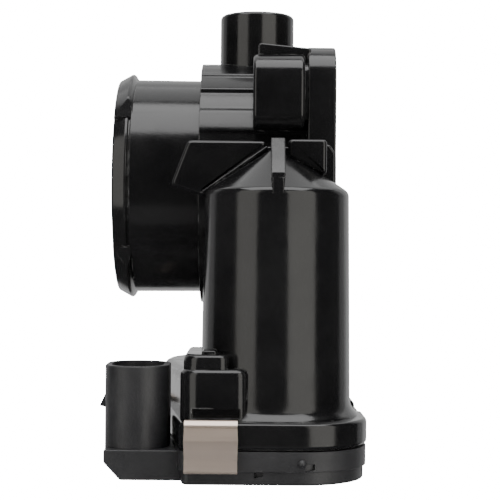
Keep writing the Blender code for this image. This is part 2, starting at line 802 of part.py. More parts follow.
def shaft_fittings():
    ring("lower_shaft_bearing", SHAFT_AXIS, SHAFT_R + GAP, 8.0, 14.0, 19.8, STEEL)
    ring("lower_shaft_seal", SHAFT_AXIS, SHAFT_R + GAP, 6.6, 20.7, 24.6, RUBBER)
    ring("upper_shaft_bearing", SHAFT_AXIS, SHAFT_R + GAP, 7.0, 108.0, 120.0, STEEL)
    coil("return_spring", SHAFT_AXIS, 14.0, 1.5, 14.6, 2.1, 3.8, SPRING_STEEL)


# ---------------------------------------------------------------- intermediate gear


def intermediate_gear():
    """The wheel that the pinion turns and the small gear that turns the sector, moulded in one."""
    to_motor = heading(MIDDLE_AXIS, MOTOR_AXIS)
    to_shaft = heading(MIDDLE_AXIS, SHAFT_AXIS)
    wheel = gear_teeth(PINION_MODULE, WHEEL_TEETH, to_motor + math.pi / WHEEL_TEETH)
    small = gear_teeth(SECTOR_MODULE, SMALL_TEETH, to_shaft)
    gear = prism("intermediate_gear", [shifted(wheel, MIDDLE_AXIS)], 3.4, 7.2, WHITE_NYLON)
    join(gear, prism("small_gear", [shifted(small, MIDDLE_AXIS)], 4.4, 10.7))
    cut(gear, cylinder("gear_bore", MIDDLE_AXIS, 1.5 + GAP, 0, 16, steps=14))
    cylinder("intermediate_gear_pin", MIDDLE_AXIS, 1.5, 1.6, 21.0, STEEL, steps=14)
    cylinder("closed_stop_pin", STOP_AT, 1.5, 7.9, 21.0, STEEL, steps=14)


# ---------------------------------------------------------------- motor


def motor_case():
    """The drawn can, open below, with the end bell that closes it and screws up into the barrel."""
    turned(
        "motor_can",
        [
            (4.0, CAN_TOP + 1.6),
            (4.0, CAN_TOP),
            (CAN_R - 1.0, CAN_TOP),
            (CAN_R, CAN_TOP - 1.0),
            (CAN_R, CAN_LOW),
            (CAN_R - 1.0, CAN_LOW),
            (CAN_R - 1.0, CAN_TOP - 1.2),
            (2.7, CAN_TOP - 1.2),
            (2.7, CAN_TOP + 1.6),
        ],
        (*MOTOR_AXIS, 0),
        STEEL,
        steps=28,
    )
    bell = prism(
        "motor_end_bell",
        [
            convex_hull(
                circle(MOTOR_AXIS, 15.4, 28)
                + circle(MOTOR_SCREWS[0], 2.9, 12)
                + circle(MOTOR_SCREWS[1], 2.9, 12)
            )
        ],
        11.1,
        ROOF_Z - GAP,
        BLACK_PLASTIC,
    )
    join(bell, cylinder("bell_spigot", MOTOR_AXIS, CAN_R - 1.3, 12.0, 17.0, steps=24))
    cut(
        bell,
        cylinder("bell_hollow", MOTOR_AXIS, 10.5, 14.5, 19, steps=20),
        cylinder("bell_bore", MOTOR_AXIS, 3.2, 9, 19, steps=16),
    )
    for index, (x, y) in enumerate(MOTOR_SCREWS):
        cut(bell, cylinder(f"bell_hole_{index + 1}", (x, y), 1.1 + GAP, 9, 19, steps=12))
        turned(
            f"motor_screw_{index + 1}",
            [(0, 22.0), (1.1, 21.8), (1.1, 10.8), (2.3, 10.8), (2.3, 9.6), (1.8, 9.1), (0, 9.1)],
            (x, y, 0),
            STEEL,
            steps=12,
            closed=False,
        )
        side = 1 if index else -1
        x_mid = MOTOR_X + 6.5 * side
        slot = box(
            f"terminal_slot_{index + 1}",
            (x_mid - 1.8, TERMINAL_Y - 0.6, 9),
            (x_mid + 1.8, TERMINAL_Y + 0.6, 20),
        )
        cut(bell, slot)
        box(
            f"motor_terminal_{index + 1}",
            (x_mid - 1.5, TERMINAL_Y - 0.3, 4.2),
            (x_mid + 1.5, TERMINAL_Y + 0.3, 16.6),
            COPPER,
        )


def arc_block(centre, inner, outer, middle, half_angle, steps=8):
    return arc(centre, outer, middle - half_angle, middle + half_angle, steps) + arc(
        centre, inner, middle + half_angle, middle - half_angle, steps
    )


def motor_inside():
    for index, middle in enumerate((0, 180)):
        outline = arc_block(MOTOR_AXIS, 11.2, CAN_R - 1.0 - GAP, middle, 62)
        prism(f"motor_magnet_{index + 1}", [outline], 24.0, 60.0, MAGNET)
        side = 1 if index == 0 else -1
        low_x = MOTOR_X + side * 4.4
        high_x = MOTOR_X + side * 9.4
        box(
            f"motor_brush_{index + 1}",
            (min(low_x, high_x), MOTOR_Y - 1.6, 17.8),
            (max(low_x, high_x), MOTOR_Y + 1.6, 21.4),
            CARBON,
        )
    ring("lower_motor_bush", MOTOR_AXIS, 1.5 + GAP, 2.9, 11.4, 14.2, BRASS, 16)
    ring("upper_motor_bush", MOTOR_AXIS, 1.5 + GAP, 2.4, CAN_TOP - 2.6, CAN_TOP + 1.2, BRASS, 16)
    ring("motor_wave_washer", MOTOR_AXIS, 4.4, 8.5, CAN_TOP + 0.4, CAN_TOP + 1.2, SPRING_STEEL, 24)


def rotor():
    """The motor's turning pieces, on the motor's axis."""
    axis = axis_empty("motor_axis", MOTOR_AXIS)
    shaft = cylinder("motor_shaft", (0, 0), 1.5, 2.9, CAN_TOP + 0.9, STEEL, steps=16)
    toward = heading(MOTOR_AXIS, MIDDLE_AXIS)
    pinion = prism(
        "motor_pinion", [gear_teeth(PINION_MODULE, PINION_TEETH, toward)], 3.2, 8.6, BRASS
    )
    cut(pinion, cylinder("pinion_bore", (0, 0), 1.5 + GAP, 0, 12, steps=12))
    core = turned(
        "armature_core",
        [(10.4, 58.0), (10.4, 26.0), (1.5 + GAP, 26.0), (1.5 + GAP, 58.0)],
        (0, 0, 0),
        STEEL,
        steps=25,
    )
    commutator = turned(
        "commutator",
        [(4.1, 23.4), (4.1, 16.4), (1.5 + GAP, 16.4), (1.5 + GAP, 25.0), (5.6, 25.0), (5.6, 23.4)],
        (0, 0, 0),
        COPPER,
        steps=20,
    )
    hang(axis, shaft, pinion, core, commutator, bpy.data.objects["pinion_bore"])
    slots = 5
    for i in range(slots):
        slot = box(f"core_slot_{i + 1}", (6.0, -0.9, 25.0), (12.0, 0.9, 59.0))
        slot.rotation_euler = (0, 0, 2 * math.pi * i / slots)
        cut(core, slot)
        hang(axis, slot)
    return axis


def flange_seal():
    profile = [(32.7, FLANGE_X + 0.4), (32.7, FLANGE_X - 1.4), (31.3, FLANGE_X - 1.4), (31.3, FLANGE_X + 0.4)]
    turned("flange_seal", profile, (0, BORE_Y, BORE_Z), RUBBER, steps=36, axis="X")


def main():
    housing()
    gear_cover()
    connector_pins()
    cover_seal()
    clips()
    throttle()
    sector_gear()
    sensor()
    shaft_fittings()
    intermediate_gear()
    motor_case()
    motor_inside()
    rotor()
    flange_seal()


main()
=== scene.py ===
"""The looks of the throttle body: a fine gloss black casting, a satin cover with its connector, warm steel
clips and the machined pieces seen through the bore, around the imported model's frame.

Lengths are in millimetres and become metres where a mesh is made. Places come from the frame's boxes.
"""

import json
import math

import bmesh
import bpy
from mathutils import Matrix, Vector

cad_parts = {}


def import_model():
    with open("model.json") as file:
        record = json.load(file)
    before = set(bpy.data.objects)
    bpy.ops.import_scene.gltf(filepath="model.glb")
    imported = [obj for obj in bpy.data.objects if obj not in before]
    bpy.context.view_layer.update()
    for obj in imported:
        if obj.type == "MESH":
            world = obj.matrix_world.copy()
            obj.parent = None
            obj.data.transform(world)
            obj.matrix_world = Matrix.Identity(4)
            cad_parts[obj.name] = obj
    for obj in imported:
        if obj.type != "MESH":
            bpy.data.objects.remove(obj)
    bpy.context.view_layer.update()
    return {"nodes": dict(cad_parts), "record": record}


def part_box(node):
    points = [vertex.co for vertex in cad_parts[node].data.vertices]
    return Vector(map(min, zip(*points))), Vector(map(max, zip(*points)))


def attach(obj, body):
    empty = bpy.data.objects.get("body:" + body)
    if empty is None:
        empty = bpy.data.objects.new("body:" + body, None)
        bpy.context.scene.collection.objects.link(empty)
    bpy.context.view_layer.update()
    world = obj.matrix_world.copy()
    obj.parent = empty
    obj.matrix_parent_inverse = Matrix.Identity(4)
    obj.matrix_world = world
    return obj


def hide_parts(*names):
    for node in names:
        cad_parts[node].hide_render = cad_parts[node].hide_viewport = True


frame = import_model()

MM = 0.001


# ---------------------------------------------------------------- places read from the frame

def span(node):
    """The node's lowest and highest corner, in millimetres."""
    low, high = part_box(node)
    return low / MM, high / MM


def middle(node):
    low, high = span(node)
    return (low + high) / 2


CASE_LOW, CASE_HIGH = span("throttle_housing")
COVER_LOW, COVER_HIGH = span("gear_cover")
BORE = middle("flange_seal")
SHAFT = middle("throttle_shaft")
MOTOR = middle("motor_can")
MIDDLE = middle("intermediate_gear_pin")
STOP = middle("closed_stop_pin")
SHAFT_TOP = span("throttle_shaft")[1].z

BORE_Y, BORE_Z = BORE.y, BORE.z
INLET = CASE_LOW.x
FACE = INLET + 62.2  # the mounting flange's face
RING = INLET + 24.4  # where the hose tube meets the ring
BORE_R = 28.5
TUBE_R = 31.5
RING_R = 34.6
FLANGE_HALF = 37.9
FLANGE_THICK = 7.8
FLANGE_CORNER_R = 10.8
BOLT_PLACES = [(side * 30.0, level * 24.2) for side, level in ((-1, 1), (1, 1), (1, -1), (-1, -1))]
BOLT_R = 3.3
TOP_BOSS_R = 10.95
JOINT = CASE_LOW.z  # the plane between the tray and the cover
LEDGE = JOINT + 6.7
ROOF = JOINT + 4.2
HUMP = JOINT + 17.3
BARREL_R = 19.45
BARREL_TOP = JOINT + 65.5
CONE_TOP = JOINT + 78.3
RIM_R = 23.7
RIM_CORNER_R = 17.8
TRAY_R = 28.5
CORNER = (MOTOR.x - 21.6, MOTOR.y - 20.7)
CORNER_R = 3.0
CASE_WALL = 2.7
COVER_WALL = 2.4
PIN_HOLE_R = 1.8
BLOCK_LEFT = CORNER[0] - 2.8  # the two-step block's left side
BLOCK_FRONT = -50.6
CLIP_HALF = 6.6
CLIP_MIDDLE = JOINT + 0.7  # the height of the clips' middle
SHAFT_R = 4.0
PLATE_HALF_THICK = 0.8
PLATE_SCREW_LEVELS = (BORE_Z - 14, BORE_Z + 14)
REST_ANGLE = 7  # how far the plate rests open, in degrees
GAP = 0.3
FINE = 96  # sides of a large round surface
FINEST = 144  # sides of the rounds that show most
SHARP = 32  # edges that bend more than this many degrees stay sharp


# ---------------------------------------------------------------- outlines

def circle(centre, radius, steps=FINE):
    turn = 2 * math.pi / steps
    return [
        (centre[0] + radius * math.cos(turn * i), centre[1] + radius * math.sin(turn * i))
        for i in range(steps)
    ]


def arc(centre, radius, first, last, steps=8):
    """Points from the angle first to last, in degrees."""
    angles = [math.radians(first + (last - first) * i / steps) for i in range(steps + 1)]
    return [(centre[0] + radius * math.cos(a), centre[1] + radius * math.sin(a)) for a in angles]


def convex_hull(points):
    """The points' outline, counter-clockwise."""

    def half(ordered):
        chain = []
        for point in ordered:
            while len(chain) > 1 and (
                (chain[-1][0] - chain[-2][0]) * (point[1] - chain[-2][1])
                - (chain[-1][1] - chain[-2][1]) * (point[0] - chain[-2][0])
            ) <= 1e-6:
                chain.pop()
            chain.append(point)
        return chain[:-1]

    ordered = sorted(set(points))
    return half(ordered) + half(ordered[::-1])


def soften(points, radius, steps=4, closed=True):
    """The outline with each corner rounded; radius is one number, or one for each corner."""
    count = len(points)
    radii = radius if isinstance(radius, (list, tuple)) else [radius] * count
    rounded = []
    for i, corner in enumerate(points):
        if radii[i] <= 0 or (not closed and i in (0, count - 1)):
            rounded.append(tuple(corner))
            continue
        here = Vector(corner)
        before = Vector(points[i - 1]) - here
        after = Vector(points[(i + 1) % count]) - here
        reach = min(radii[i], before.length * 0.48, after.length * 0.48)
        start = here + before.normalized() * reach
        end = here + after.normalized() * reach
        pull = max(math.sin(before.angle(after) / 2), 0.05)  # the weight that makes the curve a true arc
        for step in range(steps + 1):
            t = step / steps
            shares = ((1 - t) ** 2, 2 * t * (1 - t) * pull, t**2)
            point = (start * shares[0] + here * shares[1] + end * shares[2]) / sum(shares)
            rounded.append(tuple(point))
    return rounded


def rectangle(low, high, radius=0.0, steps=6):
    corners = [(low[0], low[1]), (high[0], low[1]), (high[0], high[1]), (low[0], high[1])]
    return soften(corners, radius, steps) if radius else corners


def tray_outline(inset=0.0, steps=FINE):
    """The gear tray from above: round the shaft, with two front corners, the left one nearly square."""
    rim_corner = (MOTOR.x + RIM_R - RIM_CORNER_R, MOTOR.y - RIM_R + RIM_CORNER_R)
    return convex_hull(
        circle(rim_corner, RIM_CORNER_R - inset, steps)
        + circle((SHAFT.x, SHAFT.y), TRAY_R - inset, steps)
        + circle(CORNER, max(CORNER_R - inset, 0.4), 24)
    )


def hump_outline(inset=0.0, steps=FINE):
    """The deep part of the tray, over the sector gear and the return spring."""
    return convex_hull(
        circle((SHAFT.x, SHAFT.y), TRAY_R - 1.4 - inset, steps)
        + circle((SHAFT.x - 13.2, SHAFT.y - 46.5), 6.0 - inset, 32)
        + circle((SHAFT.x + 8.3, SHAFT.y - 40.5), 6.0 - inset, 32)
    )


# ---------------------------------------------------------------- solids

def inset(points, distance):
    """The outline drawn in by distance on every side."""
    count = len(points)
    area = sum(points[i - 1][0] * points[i][1] - points[i][0] * points[i - 1][1] for i in range(count))
    side = 1 if area > 0 else -1
    moved = []
    for i in range(count):
        here = Vector(points[i])
        first = (here - Vector(points[i - 1])).normalized()
        second = (Vector(points[(i + 1) % count]) - here).normalized()
        across = Vector((-first.y, first.x)) + Vector((-second.y, second.x))
        share = max(1 + first.dot(second), 0.3)
        moved.append(tuple(here + across * (side * distance / share)))
    return moved


def ease_corners(points, radius, steps=3):
    """Round only the corners that turn by more than 35 degrees."""
    count = len(points)
    radii = []
    for i in range(count):
        first = Vector(points[i]) - Vector(points[i - 1])
        second = Vector(points[(i + 1) % count]) - Vector(points[i])
        radii.append(radius if first.angle(second) > math.radians(35) else 0)
    return soften(points, radii, steps)


def to_object(name, form, smooth=SHARP):
    bmesh.ops.recalc_face_normals(form, faces=form.faces)
    mesh = bpy.data.meshes.new(name)
    form.to_mesh(mesh)
    form.free()
    mesh.transform(Matrix.Scale(MM, 4))
    mesh.shade_smooth()
    mesh.set_sharp_from_angle(angle=math.radians(smooth))
    made = bpy.data.objects.new(name, mesh)
    bpy.context.scene.collection.objects.link(made)
    return made


AXIS_TURNS = {
    "Z": Matrix.Identity(3),
    "X": Matrix(((0, 0, 1), (1, 0, 0), (0, 1, 0))),
    "Y": Matrix(((1, 0, 0), (0, 0, -1), (0, 1, 0))),
}


def prism(name, outline, low, high, axis="Z", bevel=0.0, segments=3, taper=0.0):
    """An outline made solid from low to high along axis; taper draws the high end in by that share.

    Along X an outline holds (y, z) points, and along Y (x, z) points."""
    form = bmesh.new()
    start, end = (-high, -low) if axis == "Y" else (low, high)
    centre = Vector((sum(p[0] for p in outline), sum(p[1] for p in outline))) / len(outline)
    levels = [(start, 0.0), (end, 0.0)]
    if bevel:
        outline = ease_corners(outline, bevel)
        turns = [math.pi / 2 * k / segments for k in range(segments + 1)]
        levels = [(start + bevel * (1 - math.cos(t)), bevel * 0.94 * (1 - math.sin(t))) for t in turns]
        levels += [(end - bevel * (1 - math.cos(t)), bevel * 0.94 * (1 - math.sin(t))) for t in turns[::-1]]
    rows = []
    for level, back in levels:
        share = 1.0 - taper * (level - start) / (end - start)
        ring = inset(outline, back) if back > 1e-6 else outline
        row = []
        for point in ring:
            flat = centre + (Vector(point) - centre) * share
            row.append(form.verts.new((flat.x, flat.y, level)))
        rows.append(row)
    form.faces.new(rows[0][::-1])
    form.faces.new(rows[-1])
    count = len(outline)
    for lower, upper in zip(rows, rows[1:]):
        for i in range(count):
            j = (i + 1) % count
            form.faces.new((lower[i], lower[j], upper[j], upper[i]))
    bmesh.ops.transform(form, matrix=AXIS_TURNS[axis].to_4x4(), verts=form.verts)
    return to_object(name, form)


def box(name, low, high, bevel=0.0, segments=3):
    outline = rectangle((low[0], low[1]), (high[0], high[1]))
    return prism(name, outline, low[2], high[2], bevel=bevel, segments=segments)


def lathe(name, profile, centre, axis="Z", steps=FINE, closed=False, smooth=SHARP):
    """A profile of (radius, height) points turned about an axis through centre."""
    form = bmesh.new()
    rings = []
    for radius, height in profile:
        if radius < 1e-6:
            rings.append([form.verts.new((0, 0, height))])
            continue
        turn = 2 * math.pi / steps
        rings.append(
            [
                form.verts.new((radius * math.cos(turn * i), radius * math.sin(turn * i), height))
                for i in range(steps)
            ]
        )
    pairs = list(zip(rings, rings[1:]))
    if closed:
        pairs.append((rings[-1], rings[0]))
    for first, second in pairs:
        for i in range(steps):
            j = (i + 1) % steps
            corners = [ring[k % len(ring)] for ring, k in ((first, i), (first, j), (second, j), (second, i))]
            unique = list(dict.fromkeys(corners))
            if len(unique) > 2:
                form.faces.new(unique)
    turn = AXIS_TURNS[axis].to_4x4()
    bmesh.ops.transform(form, matrix=Matrix.Translation(centre) @ turn, verts=form.verts)
    return to_object(name, form, smooth)


def rod(name, centre, radius, low, high, axis="Z", steps=48, edge=0.0):
    """A round bar; centre gives its two other coordinates in X, Y, Z order."""
    profile = [(0, low), (radius, low), (radius, high), (0, high)]
    if edge:
        profile = soften(profile, [0, edge, edge, 0], 4, closed=False)
    place = {"Z": (centre[0], centre[1], 0), "X": (0, centre[0], centre[1]), "Y": (centre[0], 0, centre[1])}
    return lathe(name, profile, place[axis], axis, steps)


def apply_modifiers(target):
    """Replace the object's mesh by its modifiers' result."""
    bpy.context.view_layer.update()
    seen = target.evaluated_get(bpy.context.evaluated_depsgraph_get())
    mesh = bpy.data.meshes.new_from_object(seen)
    target.modifiers.clear()
    old = target.data
    target.data = mesh
    bpy.data.meshes.remove(old)
    return target


def merge(target, others, operation):
    """Boolean the other solids into the target and remove them."""
    for other in others:
        step = target.modifiers.new(other.name, "BOOLEAN")
        step.operation = operation
        step.solver = "MANIFOLD"
        step.object = other
    apply_modifiers(target)
    for other in others:
        bpy.data.objects.remove(other)
    return target


def crisp(target):
    """Clean the boolean's slivers and mark the sharp edges again."""
    form = bmesh.new()
    form.from_mesh(target.data)
    bmesh.ops.remove_doubles(form, verts=form.verts, dist=0.00002)
    bmesh.ops.dissolve_degenerate(form, dist=0.00001, edges=form.edges)
    form.to_mesh(target.data)
    form.free()
    target.data.shade_smooth()
    target.data.set_sharp_from_angle(angle=math.radians(SHARP))
    return flatten_faces(target)


def flatten_faces(target):
    """Weight the shading by face area, so that flat faces stay flat beside their rounded edges."""
    step = target.modifiers.new("flat_faces", "WEIGHTED_NORMAL")
    step.keep_sharp = True
    step.weight = 80
    return apply_modifiers(target)


def shown(piece, body, finish, slot, *nodes):
    """Give the piece its material and its body, and hide the CAD nodes that it stands for; slot is not used.
    """
    piece.data.materials.clear()
    piece.data.materials.append(finish)
    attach(piece, body)
    if nodes:
        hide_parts(*nodes)
    return piece


# ---------------------------------------------------------------- materials

def surface(name, dark, light, rough, metallic=0.0, grain=900.0, bump=0.02, stretch=(1, 1, 1), **more):
    """A Principled material whose colour and roughness drift with noise, with a fine grain in its bump.

    more: wear, a colour laid on the edges that stands for worn edges and, on the casting, also for a painted
    edge highlight; edge, that edge band's width in metres; ripple, the strength of the broad unevenness."""
    wave = 60.0
    made = bpy.data.materials.new(name)
    made.use_nodes = True
    tree = made.node_tree
    links = tree.links
    shader = tree.nodes["Principled BSDF"]
    shader.inputs["Metallic"].default_value = metallic
    shader.inputs["IOR"].default_value = 1.5

    where = tree.nodes.new("ShaderNodeTexCoord")
    place = tree.nodes.new("ShaderNodeMapping")
    place.inputs["Scale"].default_value = stretch
    links.new(where.outputs["Object"], place.inputs["Vector"])

    def noise(scale, detail, roughness=0.55):
        node = tree.nodes.new("ShaderNodeTexNoise")
        node.inputs["Scale"].default_value = scale
        node.inputs["Detail"].default_value = detail
        node.inputs["Roughness"].default_value = roughness
        links.new(place.outputs["Vector"], node.inputs["Vector"])
        return node.outputs["Fac"]

    def remap(value, low, high, source=(0.35, 0.65)):
        node = tree.nodes.new("ShaderNodeMapRange")
        node.inputs["From Min"].default_value = source[0]
        node.inputs["From Max"].default_value = source[1]
        node.inputs["To Min"].default_value = low
        node.inputs["To Max"].default_value = high
        links.new(value, node.inputs["Value"])
        return node.outputs["Result"]

    drift = noise(wave, 4.0)
    colours = tree.nodes.new("ShaderNodeMix")
    colours.data_type = "RGBA"
    colours.inputs["A"].default_value = (*dark, 1)
    colours.inputs["B"].default_value = (*light, 1)
    links.new(remap(drift, 0.0, 1.0), colours.inputs["Factor"])
    colour = colours.outputs["Result"]
    roughness = remap(noise(wave * 2.3, 6.0, 0.65), rough[0], rough[1])
    # The edges take the edge colour through a Bevel-node mask: they look worn, and on the casting the colour
    # is also a painted edge highlight.
    if "wear" in more:
        rounded = tree.nodes.new("ShaderNodeBevel")
        rounded.samples = 4
        rounded.inputs["Radius"].default_value = more.get("edge", 0.0004)
        flat = tree.nodes.new("ShaderNodeNewGeometry")
        facing = tree.nodes.new("ShaderNodeVectorMath")
        facing.operation = "DOT_PRODUCT"
        links.new(rounded.outputs["Normal"], facing.inputs[0])
        links.new(flat.outputs["Normal"], facing.inputs[1])
        worn_edge_and_highlight_mask = tree.nodes.new("ShaderNodeMath")
        worn_edge_and_highlight_mask.operation = "MULTIPLY"
        links.new(remap(facing.outputs["Value"], 1.0, 0.0, (0.8, 0.985)), worn_edge_and_highlight_mask.inputs[0])
        links.new(remap(noise(wave * 5, 3.0), 0.0, 1.0, (0.5, 0.66)), worn_edge_and_highlight_mask.inputs[1])
        worn_edge_and_highlight_mix = tree.nodes.new("ShaderNodeMix")
        worn_edge_and_highlight_mix.data_type = "RGBA"
        worn_edge_and_highlight_mix.inputs["B"].default_value = (*more["wear"], 1)
        links.new(worn_edge_and_highlight_mask.outputs["Value"], worn_edge_and_highlight_mix.inputs["Factor"])
        links.new(colour, worn_edge_and_highlight_mix.inputs["A"])
        colour = worn_edge_and_highlight_mix.outputs["Result"]
    links.new(colour, shader.inputs["Base Color"])
    links.new(roughness, shader.inputs["Roughness"])

    fine = tree.nodes.new("ShaderNodeBump")
    fine.inputs["Strength"].default_value = bump
    fine.inputs["Distance"].default_value = 0.0002
    links.new(noise(grain, 3.0), fine.inputs["Height"])
    broad = tree.nodes.new("ShaderNodeBump")
    broad.inputs["Strength"].default_value = more.get("ripple", 0.05)
    broad.inputs["Distance"].default_value = 0.0006
    links.new(noise(wave * 1.7, 2.0), broad.inputs["Height"])
    links.new(broad.outputs["Normal"], fine.inputs["Normal"])
    links.new(fine.outputs["Normal"], shader.inputs["Normal"])
    return made


# The casting's light grey edge colour stands for worn edges and is also a painted edge highlight on its rims.
CASTING = surface(
    "gloss_black_casting",
    (0.0045, 0.0045, 0.005),
    (0.0085, 0.0085, 0.009),
    (0.13, 0.2),
    grain=1400.0,
    bump=0.04,
    wear=(0.16, 0.16, 0.16),
    edge=0.0005,
    ripple=0.07,
)
PLASTIC = surface(
    "satin_black_plastic",
    (0.016, 0.016, 0.018),
    (0.024, 0.024, 0.026),
    (0.38, 0.52),
    grain=2600.0,
    bump=0.18,
    wear=(0.06, 0.06, 0.062),
)
CLIP_STEEL = surface(
    "warm_clip_steel",
    (0.60, 0.49, 0.42),
    (0.76, 0.64, 0.56),
    (0.26, 0.40),
    metallic=0.86,
    grain=900.0,
    bump=0.12,
    stretch=(0.06, 1, 1.6),
    wear=(0.72, 0.67, 0.60),
)
STEEL = surface(
    "turned_steel", (0.42, 0.42, 0.43), (0.58, 0.58, 0.58), (0.2, 0.34), metallic=1.0, grain=700, bump=0.06,
    stretch=(1, 1, 6),
)
BRASS = surface(
    "plate_brass", (0.52, 0.38, 0.16), (0.68, 0.52, 0.25), (0.24, 0.4), metallic=1.0, grain=800, bump=0.08,
    stretch=(1, 6, 1),
)
COPPER = surface("copper", (0.60, 0.30, 0.18), (0.74, 0.40, 0.26), (0.25, 0.42), metallic=1.0)
RUBBER = surface("black_rubber", (0.012, 0.012, 0.012), (0.022, 0.022, 0.022), (0.6, 0.78), bump=0.12)
NYLON = surface("natural_nylon", (0.60, 0.57, 0.48), (0.72, 0.69, 0.60), (0.4, 0.55), bump=0.05)
FERRITE = surface("ferrite", (0.05, 0.05, 0.055), (0.09, 0.09, 0.095), (0.45, 0.6), metallic=0.3, bump=0.2)
BOARD = surface("circuit_board", (0.012, 0.09, 0.035), (0.02, 0.13, 0.05), (0.35, 0.5), bump=0.1)
TIN = surface("tin_plate", (0.62, 0.61, 0.58), (0.74, 0.73, 0.69), (0.2, 0.35), metallic=1.0)
CARBON = surface("carbon", (0.03, 0.03, 0.03), (0.05, 0.05, 0.05), (0.5, 0.7), bump=0.3)

SLOT_FINISHES = {
    "black_casting": CASTING,
    "black_plastic": PLASTIC,
    "spring_steel": CLIP_STEEL,
    "steel": STEEL,
    "brass": BRASS,
    "copper": COPPER,
    "rubber": RUBBER,
    "white_nylon": NYLON,
    "magnet": FERRITE,
    "board": BOARD,
    "tinned": TIN,
    "carbon": CARBON,
}


def finish_cad_nodes():
    """Put the procedural materials in the slots of the CAD nodes that stay."""
    for part in frame["record"]["subparts"]:
        node = frame["nodes"][part["node"]]
        node.data.materials.clear()
        node.data.materials.append(SLOT_FINISHES[part["material_slot"]])
        node.data.set_sharp_from_angle(angle=math.radians(SHARP))


# ---------------------------------------------------------------- housing

def spigot():
    """The hose tube with its barb, which is trimmed away at the parting line on the near and far sides."""
    profile = soften(
        [
            (BORE_R - 2, INLET),
            (TUBE_R - 1.9, INLET),
            (TUBE_R - 0.5, INLET + 3.6),
            (TUBE_R - 0.5, INLET + 4.1),
            (TUBE_R - 0.95, INLET + 4.4),
            (TUBE_R - 0.95, INLET + 4.8),
            (TUBE_R + 0.05, INLET + 5.0),
            (TUBE_R - 0.1, RING + 1.0),
            (BORE_R - 2, RING + 1.0),
        ],
        [0, 0.6, 0.2, 0.15, 0.1, 0.1, 0.2, 0, 0],
        3,
    )
    tube = lathe("casting", profile, (0, BORE_Y, BORE_Z), "X", steps=FINEST, closed=True)
    barb = lathe(
        "barb",
        soften(
            [
                (TUBE_R - 1.5, INLET + 0.1),
                (TUBE_R - 0.35, INLET + 0.15),
                (TUBE_R + 1.75, INLET + 3.9),
                (TUBE_R + 1.55, INLET + 4.5),
                (TUBE_R - 0.3, INLET + 5.6),
                (TUBE_R - 1.5, INLET + 5.7),
            ],
            [0, 0.3, 0.5, 0.5, 0.6, 0],
            3,
        ),
        (0, BORE_Y, BORE_Z),
        "X",
        steps=FINEST,
        closed=True,
    )
    gaps = []
    for side in (-1, 1):
        above = [(36, TUBE_R - 0.2), (46.5, TUBE_R + 1.95), (50, TUBE_R + 14), (0, TUBE_R + 40)]
        rim = above + [(-angle, reach) for angle, reach in above[-2::-1]]
        points = [(BORE_Y, BORE_Z)]
        for angle, reach in rim:
            slope = math.radians(angle)
            points.append((BORE_Y + side * reach * math.cos(slope), BORE_Z + reach * math.sin(slope)))
        gaps.append(prism("barb_gap", points if side < 0 else points[::-1], INLET - 1, INLET + 8, "X"))
    merge(barb, gaps, "DIFFERENCE")
    return merge(tube, [barb], "UNION")


def stepped_ring():
    """The ring that carries the shaft: arcs of slightly different radius, stepped where they meet."""
    bands = (
        (90.5, 60.0, RING_R + 1.8),
        (58.6, 48.2, RING_R + 1.1),
        (46.6, 35.8, RING_R + 0.3),
        (34.6, 23.6, RING_R + 0.7),
        (22.8, 0.0, RING_R),
    )
    upper = []
    for first, last, radius in bands:
        upper += arc((0, 0), radius, 180 - first, 180 - last, 6)
    lower = arc((0, 0), RING_R, 183, 270, 24)
    near = upper + lower[1:]
    far = [(-y, z) for y, z in near[::-1]]
    outline = [(BORE_Y + y, BORE_Z + z) for y, z in near + far[1:-1]]
    return prism("ring", outline, RING, FACE - 1.0, "X", bevel=0.35, segments=2)


def flange_parts():
    """The mounting flange with a boss behind each bolt: the upper ones long, the near ones wide."""
    outline = rectangle(
        (BORE_Y - FLANGE_HALF, BORE_Z - FLANGE_HALF),
        (BORE_Y + FLANGE_HALF, BORE_Z + FLANGE_HALF),
        FLANGE_CORNER_R,
        steps=14,
    )
    parts = [prism("flange", outline, FACE - FLANGE_THICK, FACE, "X", bevel=0.55, segments=3)]
    for across, up in BOLT_PLACES:
        y, z = BORE_Y + across, BORE_Z + up
        size = 10.0 if across < 0 else 7.6
        start, end = (FACE - 22.8, FACE - 8.7) if up > 0 else (FACE - 13.0, FACE - 7.2)
        high = size + 1.0 if across < 0 and up > 0 else size
        near, far = y - size, y + size
        corners = [(near, z - size), (far, z - size), (far, z + high), (near, z + high)]
        block = soften(corners, [4.5, 4.5, 4.5, 7.5], steps=9)
        parts.append(prism("bolt_boss", block, start, end, "X", bevel=1.1, segments=4))
        root = rectangle((y - size + 2.4, z - size + 1.6), (y + size - 2.4, z + high - 2.6), 4.0, 6)
        parts.append(prism("bolt_root", root, FACE - 11, FACE - 4, "X"))
    return parts


def tower_parts():
    """The shaft's top boss with the shelf and web beside it, and the neck down to the tray."""
    foot = BORE_Z + 20
    back = FACE - FLANGE_THICK + 0.9
    web = soften(
        [(SHAFT.x + 0.2, foot), (back, foot), (back, BORE_Z + 36.9), (SHAFT.x + 0.2, BORE_Z + 38.3)],
        [0, 0, 0, 1.0],
    )
    return [
        rod("top_boss", (SHAFT.x, SHAFT.y), TOP_BOSS_R, foot, CASE_HIGH.z, steps=FINE, edge=1.3),
        box("shelf", (RING + 0.4, BORE_Y - 12, foot), (back, BORE_Y + 12, BORE_Z + 34.6), 0.5),
        prism("web", web, BORE_Y - 34, BORE_Y - 12, "Y", bevel=0.6),
        box("neck", (SHAFT.x - 13.2, -4.0, HUMP - 2), (FACE - 6.4, 40.0, BORE_Z - 15.4), 2.5, 4),
    ]


def bead(name, start, end, y, radius):
    """A thin rounded line of metal between two (x, z) points, where a plate runs into the cone."""
    span_xz = Vector(end) - Vector(start)
    made = rod(name, (0, 0), radius, 0, span_xz.length, steps=16, edge=radius * 0.6)
    lean = math.atan2(span_xz.x, span_xz.y)
    made.data.transform(Matrix.Rotation(lean, 4, "Y"))
    made.data.transform(Matrix.Translation(Vector((start[0], y, start[1])) * MM))
    return made


